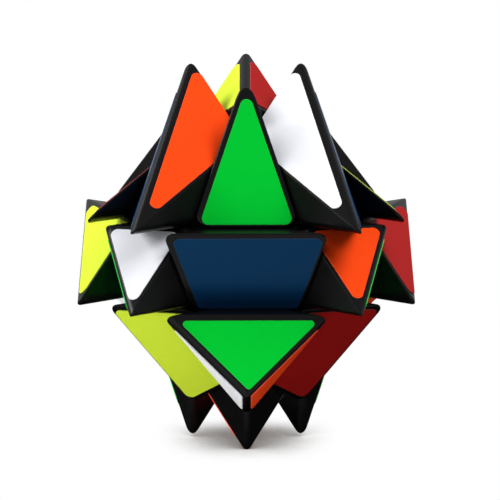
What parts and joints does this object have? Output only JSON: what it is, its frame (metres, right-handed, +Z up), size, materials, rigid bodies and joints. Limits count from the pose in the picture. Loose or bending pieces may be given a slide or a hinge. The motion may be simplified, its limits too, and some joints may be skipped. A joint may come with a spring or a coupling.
{
  "type": "twisty puzzle",
  "caption": "Shape-shifting twisty puzzle: sprung centres on a cross-shaped core hold edges and corners that close into a plain cube when solved and stand out as spikes when turned.",
  "frame": {"origin": "centre of the core, where the six turning axes meet", "axes": "+X right, +Y back, +Z up, each along one pair of turning axes; the puzzle is shown with six half turns made, standing as pictured"},
  "size_m": [0.0928, 0.0928, 0.0928],
  "materials": {
    "shell_plastic": "satin black moulded ABS",
    "inner_plastic": "matt black moulded ABS",
    "core_plastic": "matt black moulded nylon",
    "screw_steel": "zinc-plated steel",
    "washer_steel": "stamped steel",
    "spring_steel": "drawn spring steel",
    "vinyl_green": "smooth vinyl sticker",
    "vinyl_white": "smooth vinyl sticker",
    "vinyl_orange": "smooth vinyl sticker",
    "vinyl_blue": "smooth vinyl sticker",
    "vinyl_yellow": "smooth vinyl sticker",
    "vinyl_red": "smooth vinyl sticker"
  },
  "bodies": {
    "core": {"core": "core_plastic", "screws": "screw_steel", "springs": "spring_steel", "washers": "washer_steel"},
    "centre_up": {"centre_up_base": "inner_plastic", "centre_up_cap": "shell_plastic"},
    "centre_down": {"centre_down_base": "inner_plastic", "centre_down_cap": "shell_plastic"},
    "centre_front": {"centre_front_base": "inner_plastic", "centre_front_cap": "shell_plastic"},
    "centre_back": {"centre_back_base": "inner_plastic", "centre_back_cap": "shell_plastic"},
    "centre_left": {"centre_left_base": "inner_plastic", "centre_left_cap": "shell_plastic"},
    "centre_right": {"centre_right_base": "inner_plastic", "centre_right_cap": "shell_plastic"},
    "edge_up_front": {"edge_up_front_foot": "inner_plastic", "edge_up_front_shell": "shell_plastic"},
    "edge_up_back": {"edge_up_back_foot": "inner_plastic", "edge_up_back_shell": "shell_plastic"},
    "edge_up_right": {"edge_up_right_foot": "inner_plastic", "edge_up_right_shell": "shell_plastic"},
    "edge_up_left": {"edge_up_left_foot": "inner_plastic", "edge_up_left_shell": "shell_plastic"},
    "edge_down_front": {"edge_down_front_foot": "inner_plastic", "edge_down_front_shell": "shell_plastic"},
    "edge_down_back": {"edge_down_back_foot": "inner_plastic", "edge_down_back_shell": "shell_plastic"},
    "edge_down_right": {"edge_down_right_foot": "inner_plastic", "edge_down_right_shell": "shell_plastic"},
    "edge_down_left": {"edge_down_left_foot": "inner_plastic", "edge_down_left_shell": "shell_plastic"},
    "edge_front_right": {"edge_front_right_foot": "inner_plastic", "edge_front_right_shell": "shell_plastic"},
    "edge_front_left": {"edge_front_left_foot": "inner_plastic", "edge_front_left_shell": "shell_plastic"},
    "edge_back_right": {"edge_back_right_foot": "inner_plastic", "edge_back_right_shell": "shell_plastic"},
    "edge_back_left": {"edge_back_left_foot": "inner_plastic", "edge_back_left_shell": "shell_plastic"},
    "corner_up_front_right": {"corner_up_front_right_foot": "inner_plastic", "corner_up_front_right_shell": "shell_plastic"},
    "corner_up_front_left": {"corner_up_front_left_foot": "inner_plastic", "corner_up_front_left_shell": "shell_plastic"},
    "corner_up_back_right": {"corner_up_back_right_foot": "inner_plastic", "corner_up_back_right_shell": "shell_plastic"},
    "corner_up_back_left": {"corner_up_back_left_foot": "inner_plastic", "corner_up_back_left_shell": "shell_plastic"},
    "corner_down_front_right": {"corner_down_front_right_foot": "inner_plastic", "corner_down_front_right_shell": "shell_plastic"},
    "corner_down_front_left": {"corner_down_front_left_foot": "inner_plastic", "corner_down_front_left_shell": "shell_plastic"},
    "corner_down_back_right": {"corner_down_back_right_foot": "inner_plastic", "corner_down_back_right_shell": "shell_plastic"},
    "corner_down_back_left": {"corner_down_back_left_foot": "inner_plastic", "corner_down_back_left_shell": "shell_plastic"}
  },
  "joints": [
    {"name": "up_turn", "type": "hinge", "parent": "core", "child": "centre_up", "pos_m": [0, 0, 0], "axis": [0, 0, 1], "continuous": true},
    {"name": "down_turn", "type": "hinge", "parent": "core", "child": "centre_down", "pos_m": [0, 0, 0], "axis": [0, 0, -1], "continuous": true},
    {"name": "front_turn", "type": "hinge", "parent": "core", "child": "centre_front", "pos_m": [0, 0, 0], "axis": [0, -1, 0], "continuous": true},
    {"name": "back_turn", "type": "hinge", "parent": "core", "child": "centre_back", "pos_m": [0, 0, 0], "axis": [0, 1, 0], "continuous": true},
    {"name": "left_turn", "type": "hinge", "parent": "core", "child": "centre_left", "pos_m": [0, 0, 0], "axis": [-1, 0, 0], "continuous": true},
    {"name": "right_turn", "type": "hinge", "parent": "core", "child": "centre_right", "pos_m": [0, 0, 0], "axis": [1, 0, 0], "continuous": true},
    {"name": "edge_up_front_follow", "type": "hinge", "parent": "centre_up", "child": "edge_up_front", "pos_m": [0, 0, 0], "axis": [0, -1, 0], "continuous": true},
    {"name": "edge_up_back_follow", "type": "hinge", "parent": "centre_up", "child": "edge_up_back", "pos_m": [0, 0, 0], "axis": [0, 1, 0], "continuous": true},
    {"name": "edge_up_right_follow", "type": "hinge", "parent": "centre_up", "child": "edge_up_right", "pos_m": [0, 0, 0], "axis": [1, 0, 0], "continuous": true},
    {"name": "edge_up_left_follow", "type": "hinge", "parent": "centre_up", "child": "edge_up_left", "pos_m": [0, 0, 0], "axis": [-1, 0, 0], "continuous": true},
    {"name": "edge_down_front_follow", "type": "hinge", "parent": "centre_front", "child": "edge_down_front", "pos_m": [0, 0, 0], "axis": [0, 0, -1], "continuous": true},
    {"name": "edge_down_back_follow", "type": "hinge", "parent": "centre_back", "child": "edge_down_back", "pos_m": [0, 0, 0], "axis": [0, 0, -1], "continuous": true},
    {"name": "edge_down_right_follow", "type": "hinge", "parent": "centre_right", "child": "edge_down_right", "pos_m": [0, 0, 0], "axis": [0, 0, -1], "continuous": true},
    {"name": "edge_down_left_follow", "type": "hinge", "parent": "centre_left", "child": "edge_down_left", "pos_m": [0, 0, 0], "axis": [0, 0, -1], "continuous": true},
    {"name": "edge_front_right_follow", "type": "hinge", "parent": "centre_front", "child": "edge_front_right", "pos_m": [0, 0, 0], "axis": [1, 0, 0], "continuous": true},
    {"name": "edge_front_left_follow", "type": "hinge", "parent": "centre_left", "child": "edge_front_left", "pos_m": [0, 0, 0], "axis": [0, -1, 0], "continuous": true},
    {"name": "edge_back_right_follow", "type": "hinge", "parent": "centre_right", "child": "edge_back_right", "pos_m": [0, 0, 0], "axis": [0, 1, 0], "continuous": true},
    {"name": "edge_back_left_follow", "type": "hinge", "parent": "centre_back", "child": "edge_back_left", "pos_m": [0, 0, 0], "axis": [-1, 0, 0], "continuous": true},
    {"name": "corner_up_front_right_follow", "type": "hinge", "parent": "edge_up_front", "child": "corner_up_front_right", "pos_m": [0, 0, 0], "axis": [1, 0, 0], "continuous": true},
    {"name": "corner_up_front_left_follow", "type": "hinge", "parent": "edge_up_front", "child": "corner_up_front_left", "pos_m": [0, 0, 0], "axis": [-1, 0, 0], "continuous": true},
    {"name": "corner_up_back_right_follow", "type": "hinge", "parent": "edge_up_back", "child": "corner_up_back_right", "pos_m": [0, 0, 0], "axis": [1, 0, 0], "continuous": true},
    {"name": "corner_up_back_left_follow", "type": "hinge", "parent": "edge_up_back", "child": "corner_up_back_left", "pos_m": [0, 0, 0], "axis": [-1, 0, 0], "continuous": true},
    {"name": "corner_down_front_right_follow", "type": "hinge", "parent": "edge_down_front", "child": "corner_down_front_right", "pos_m": [0, 0, 0], "axis": [1, 0, 0], "continuous": true},
    {"name": "corner_down_front_left_follow", "type": "hinge", "parent": "edge_down_front", "child": "corner_down_front_left", "pos_m": [0, 0, 0], "axis": [-1, 0, 0], "continuous": true},
    {"name": "corner_down_back_right_follow", "type": "hinge", "parent": "edge_down_back", "child": "corner_down_back_right", "pos_m": [0, 0, 0], "axis": [1, 0, 0], "continuous": true},
    {"name": "corner_down_back_left_follow", "type": "hinge", "parent": "edge_down_back", "child": "corner_down_back_left", "pos_m": [0, 0, 0], "axis": [-1, 0, 0], "continuous": true}
  ],
  "couplings": [
    {"joint": "edge_up_front_follow", "follows": "front_turn", "ratio": 1},
    {"joint": "edge_up_back_follow", "follows": "back_turn", "ratio": 1},
    {"joint": "edge_up_right_follow", "follows": "right_turn", "ratio": 1},
    {"joint": "edge_up_left_follow", "follows": "left_turn", "ratio": 1},
    {"joint": "edge_down_front_follow", "follows": "down_turn", "ratio": 1},
    {"joint": "edge_down_back_follow", "follows": "down_turn", "ratio": 1},
    {"joint": "edge_down_right_follow", "follows": "down_turn", "ratio": 1},
    {"joint": "edge_down_left_follow", "follows": "down_turn", "ratio": 1},
    {"joint": "edge_front_right_follow", "follows": "right_turn", "ratio": 1},
    {"joint": "edge_front_left_follow", "follows": "front_turn", "ratio": 1},
    {"joint": "edge_back_right_follow", "follows": "back_turn", "ratio": 1},
    {"joint": "edge_back_left_follow", "follows": "left_turn", "ratio": 1},
    {"joint": "corner_up_front_right_follow", "follows": "right_turn", "ratio": 1},
    {"joint": "corner_up_front_left_follow", "follows": "left_turn", "ratio": 1},
    {"joint": "corner_up_back_right_follow", "follows": "right_turn", "ratio": 1},
    {"joint": "corner_up_back_left_follow", "follows": "left_turn", "ratio": 1},
    {"joint": "corner_down_front_right_follow", "follows": "right_turn", "ratio": 1},
    {"joint": "corner_down_front_left_follow", "follows": "left_turn", "ratio": 1},
    {"joint": "corner_down_back_right_follow", "follows": "right_turn", "ratio": 1},
    {"joint": "corner_down_back_left_follow", "follows": "left_turn", "ratio": 1}
  ]
}
